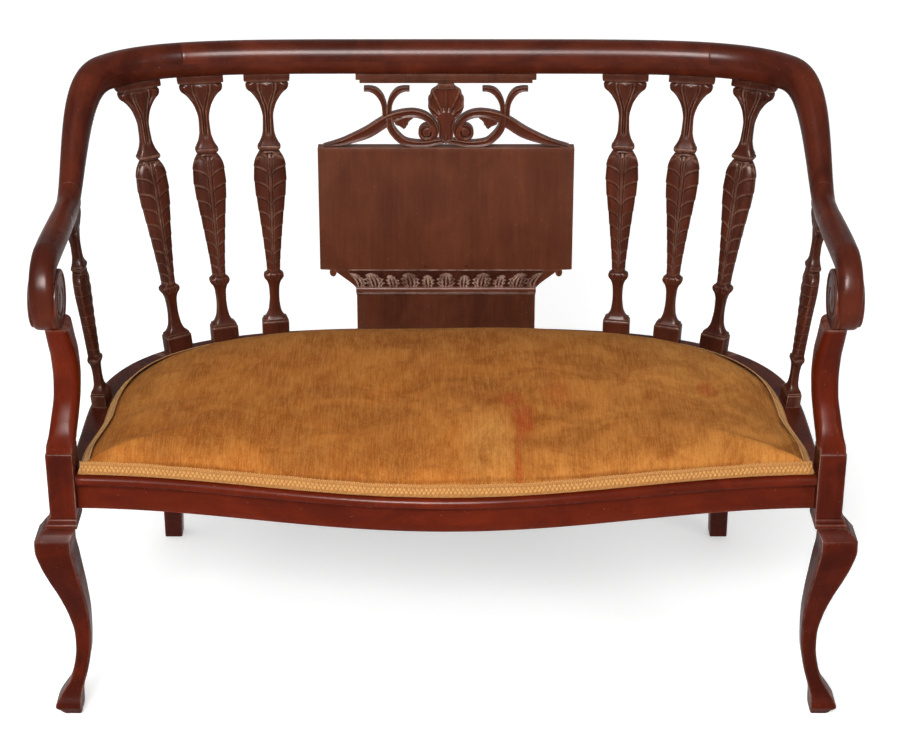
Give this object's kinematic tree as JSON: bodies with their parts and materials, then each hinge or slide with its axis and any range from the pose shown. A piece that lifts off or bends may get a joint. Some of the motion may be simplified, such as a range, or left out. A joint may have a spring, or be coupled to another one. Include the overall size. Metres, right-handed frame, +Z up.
{
  "type": "cabriole settee",
  "caption": "Show-wood settee with a bow-cornered crest rail, scrolled arms, carved flat balusters, a low pierced splat, a domed upholstered seat and cabriole front legs.",
  "frame": {"origin": "on the floor, under the middle of the settee's outline", "axes": "+X to the right as seen from the front, +Y to the back, +Z up"},
  "size_m": [1.1354, 0.6029, 0.854],
  "materials": {
    "mahogany": "french polish",
    "dark_mahogany": "french polish, worn on the carving",
    "velvet": "worn cotton velvet",
    "braid": "stitched gimp braid",
    "linen": "plain woven jute and linen",
    "black_cloth": "plain woven cotton",
    "steel": "bright"
  },
  "bodies": {
    "root": {"crest_rail": "mahogany", "left_shoulder_rail": "mahogany", "right_shoulder_rail": "mahogany", "left_arm": "mahogany", "right_arm": "mahogany", "left_arm_support": "mahogany", "right_arm_support": "mahogany", "left_front_leg": "mahogany", "right_front_leg": "mahogany", "left_rear_leg": "mahogany", "right_rear_leg": "mahogany", "front_seat_rail": "mahogany", "left_side_rail": "mahogany", "right_side_rail": "mahogany", "back_seat_rail": "mahogany", "left_outer_baluster": "dark_mahogany", "right_outer_baluster": "dark_mahogany", "left_middle_baluster": "dark_mahogany", "right_middle_baluster": "dark_mahogany", "left_inner_baluster": "dark_mahogany", "right_inner_baluster": "dark_mahogany", "left_side_baluster": "dark_mahogany", "right_side_baluster": "dark_mahogany", "splat_panel": "dark_mahogany", "splat_stem": "mahogany", "splat_leaf_moulding": "mahogany", "splat_cresting": "dark_mahogany", "splat_cap": "mahogany", "seat_cover": "velvet", "seat_stuffing": "linen", "gimp_braid": "braid", "webbing": "linen", "hessian_cloth": "linen", "dust_cover": "black_cloth", "left_front_glue_block": "dark_mahogany", "right_front_glue_block": "dark_mahogany", "glue_block_screws": "steel", "cross_rail": "dark_mahogany"}
  },
  "joints": []
}
